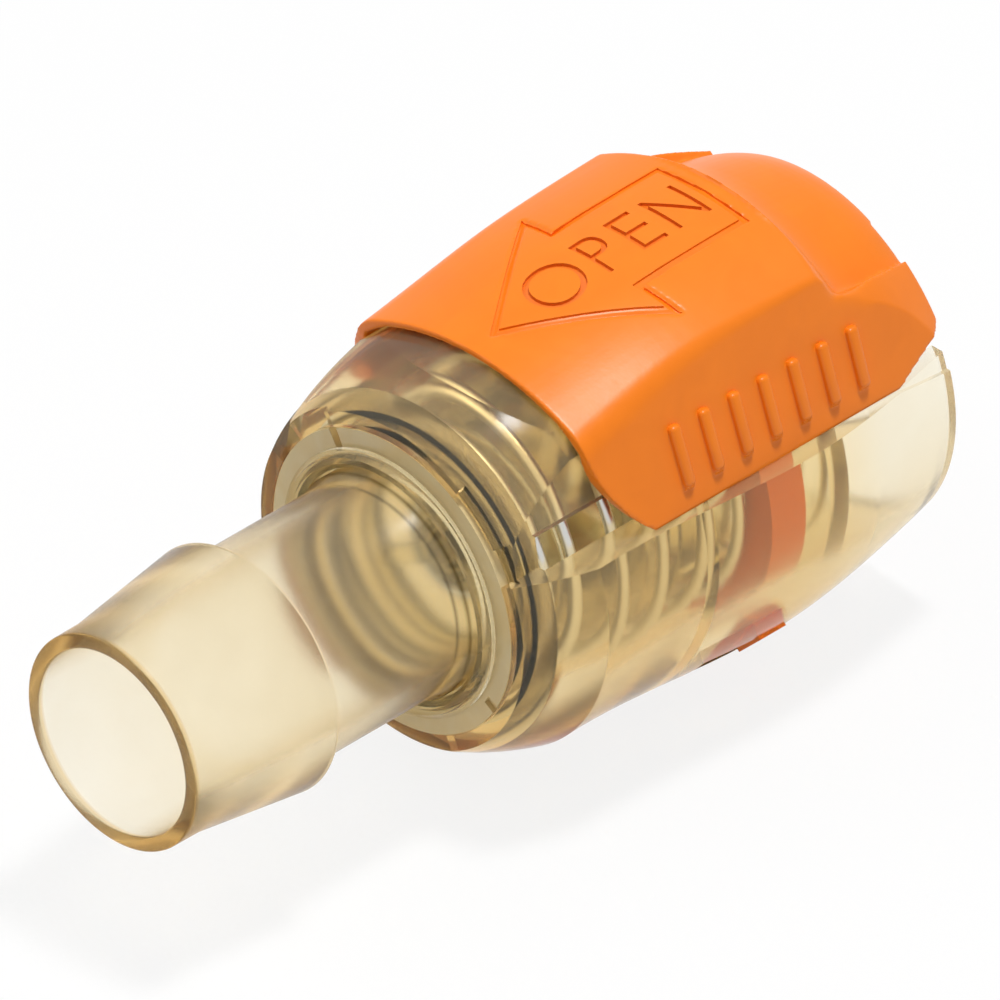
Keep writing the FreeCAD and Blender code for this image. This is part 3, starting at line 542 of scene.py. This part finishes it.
# The slide latch is a thick thumb cap over the housing, with swept wings, two ears and a scoop.
# Its outer edges are rounded as the mould leaves them. The arrow and the word in it are cut
# into the roof afterwards, so they stay crisp.
skin_grain = 0.11
notch_place = Vector((46.6, 8.1, 9.9)) * mm
notch_reach = 2.2 * mm
notch_passes = 110
edge_passes = 5
faces_kept = 0.35
pick(nodes["slide_latch"])
bpy.ops.object.duplicate()
latch = bpy.context.object
latch.name = "thumb_latch"
bpy.ops.object.mode_set(mode="EDIT")
bpy.ops.mesh.select_all(action="SELECT")
bpy.ops.mesh.remove_doubles(threshold=0.001 * mm)
bpy.ops.object.mode_set(mode="OBJECT")
skin = latch.modifiers.new("moulded_skin", "REMESH")
skin.mode = "VOXEL"
skin.voxel_size = skin_grain * mm
bpy.ops.object.modifier_apply(modifier=skin.name)
notch = latch.vertex_groups.new(name="ear_notch")
for v in latch.data.vertices:
    away = (Vector((v.co.x, abs(v.co.y), v.co.z)) - notch_place).length
    if away < notch_reach:
        notch.add([v.index], min(1.0, 2.0 * (1.0 - away / notch_reach)), "REPLACE")
rounding = latch.modifiers.new("rounded_notch", "SMOOTH")
rounding.factor = 0.5
rounding.iterations = notch_passes
rounding.vertex_group = notch.name
bpy.ops.object.modifier_apply(modifier=rounding.name)
soft = latch.modifiers.new("soft_edges", "SMOOTH")
soft.factor = 0.5
soft.iterations = edge_passes
bpy.ops.object.modifier_apply(modifier=soft.name)
lighter = latch.modifiers.new("fewer_faces", "DECIMATE")
lighter.ratio = faces_kept
bpy.ops.object.modifier_apply(modifier=lighter.name)
mould_in(latch, orange)

roof_top = 16.0
letter_half = 1.6
round_letter = 1.08
thinner_stroke = -0.012
letter_places = (("O", 31.55, 35.05), ("P", 35.9, 37.6), ("E", 38.5, 40.35), ("N", 41.15, 43.65))
strokes = []
for letter, x0, x1 in letter_places:
    bpy.ops.object.select_all(action="DESELECT")
    bpy.ops.object.text_add(location=(0, 0, 0))
    stroke = bpy.context.object
    stroke.data.body = letter
    stroke.data.offset = thinner_stroke
    stroke.data.resolution_u = 6
    bpy.ops.object.convert(target="MESH")
    stroke = bpy.context.object
    low = [min(v.co[axis] for v in stroke.data.vertices) for axis in (0, 1)]
    high = [max(v.co[axis] for v in stroke.data.vertices) for axis in (0, 1)]
    tall = letter_half * (round_letter if letter == "O" else 1.0)
    stroke.scale = ((x1 - x0) * mm / (high[0] - low[0]), 2 * tall * mm / (high[1] - low[1]), 1)
    stroke.location = (
        x0 * mm - low[0] * stroke.scale[0],
        -tall * mm - low[1] * stroke.scale[1],
        roof_top * mm,
    )
    bpy.ops.object.transform_apply(location=True, rotation=True, scale=True)
    strokes.append(stroke)
word = strokes[-1]
pick(word)
for stroke in strokes:
    stroke.select_set(True)
bpy.ops.object.join()

arrow_corners = (
    (28.38, 0),
    (36.9, -6.1),
    (36.55, -3.5),
    (44.6, -3.5),
    (44.6, 3.5),
    (36.55, 3.5),
    (36.9, 6.1),
)
outline_width = 0.42
bpy.ops.object.select_all(action="DESELECT")
bpy.ops.mesh.primitive_circle_add(
    vertices=len(arrow_corners),
    radius=1 * mm,
    fill_type="NGON",
    location=(0, 0, roof_top * mm),
)
arrow = bpy.context.object
bpy.ops.object.transform_apply(location=True, rotation=True, scale=True)
for corner, (x, y) in zip(arrow.data.vertices, arrow_corners):
    corner.co = (x * mm, y * mm, roof_top * mm)
bpy.ops.object.mode_set(mode="EDIT")
bpy.ops.mesh.select_all(action="SELECT")
bpy.ops.mesh.inset(thickness=outline_width * mm, use_even_offset=True)
bpy.ops.mesh.delete(type="FACE")
bpy.ops.object.mode_set(mode="OBJECT")

word_depth = 0.2
arrow_depth = 0.13
cutter_height = 1.0
# Painted shade: the word's groove faces take a darker orange, for the shadow in the narrow strokes.
groove_shade = moulding(
    "orange_groove_shade",
    light=(0.82, 0.18, 0.008),
    deep=(0.76, 0.165, 0.007),
    flow_size=350,
    grain_size=5000,
    roughness=(0.4, 0.5),
    bump=0.2,
)
for cutter, depth, plastic in ((word, word_depth, groove_shade), (arrow, arrow_depth, orange)):
    mould_in(cutter, plastic)
    pick(cutter)
    bpy.ops.object.mode_set(mode="EDIT")
    bpy.ops.mesh.select_all(action="SELECT")
    bpy.ops.mesh.remove_doubles(threshold=0.002 * mm)
    bpy.ops.mesh.subdivide(number_cuts=5)
    bpy.ops.object.mode_set(mode="OBJECT")
    lay = cutter.modifiers.new("on_the_roof", "SHRINKWRAP")
    lay.target = latch
    lay.wrap_method = "PROJECT"
    lay.use_project_z = True
    lay.use_negative_direction = True
    lay.use_positive_direction = False
    lay.offset = -depth * mm
    bpy.ops.object.modifier_apply(modifier=lay.name)
    bpy.ops.object.mode_set(mode="EDIT")
    bpy.ops.mesh.select_all(action="SELECT")
    bpy.ops.mesh.extrude_region_move(TRANSFORM_OT_translate={"value": (0, 0, cutter_height * mm)})
    bpy.ops.mesh.select_all(action="SELECT")
    bpy.ops.mesh.normals_make_consistent(inside=False)
    bpy.ops.object.mode_set(mode="OBJECT")
pick(latch)
for cutter in (word, arrow):
    cut = latch.modifiers.new("engraving", "BOOLEAN")
    cut.operation = "DIFFERENCE"
    cut.solver = "EXACT"
    cut.material_mode = "TRANSFER"
    cut.object = cutter
    bpy.ops.object.modifier_apply(modifier=cut.name)
    bpy.data.objects.remove(cutter)

wing_start_x = 27.0
wing_length = 21.6
wing_foot_y = 10.87
ledge_z = 4.1
lean_front = 23.0
lean_rear = 18.0
grip_count = 7
grip_start_x = 33.0
grip_pitch = 2.2
grip_z = 7.1
grip_size = (0.8, 1.0, 3.6)
grip_edge = 0.3
grips = []
for i in range(grip_count):
    x = grip_start_x + grip_pitch * i
    lean = math.radians(lean_front + (lean_rear - lean_front) * (x - wing_start_x) / wing_length)
    for side in (-1, 1):
        y = side * (wing_foot_y - (grip_z - ledge_z) * math.tan(lean))
        bpy.ops.object.select_all(action="DESELECT")
        bpy.ops.mesh.primitive_cube_add(
            size=1,
            location=(x * mm, y * mm, grip_z * mm),
            rotation=(side * lean, 0, 0),
            scale=[extent * mm for extent in grip_size],
        )
        bar = bpy.context.object
        bpy.ops.object.transform_apply(location=True, rotation=True, scale=True)
        bpy.ops.object.mode_set(mode="EDIT")
        bpy.ops.mesh.select_all(action="SELECT")
        bpy.ops.mesh.bevel(offset=grip_edge * mm, segments=4, affect="EDGES")
        bpy.ops.object.mode_set(mode="OBJECT")
        mould_in(bar, orange)
        grips.append(bar)
pick(latch)
for bar in grips:
    bar.select_set(True)
bpy.ops.object.join()
bpy.ops.object.shade_smooth_by_angle(angle=math.radians(35))
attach(latch, "latch")
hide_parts("slide_latch")
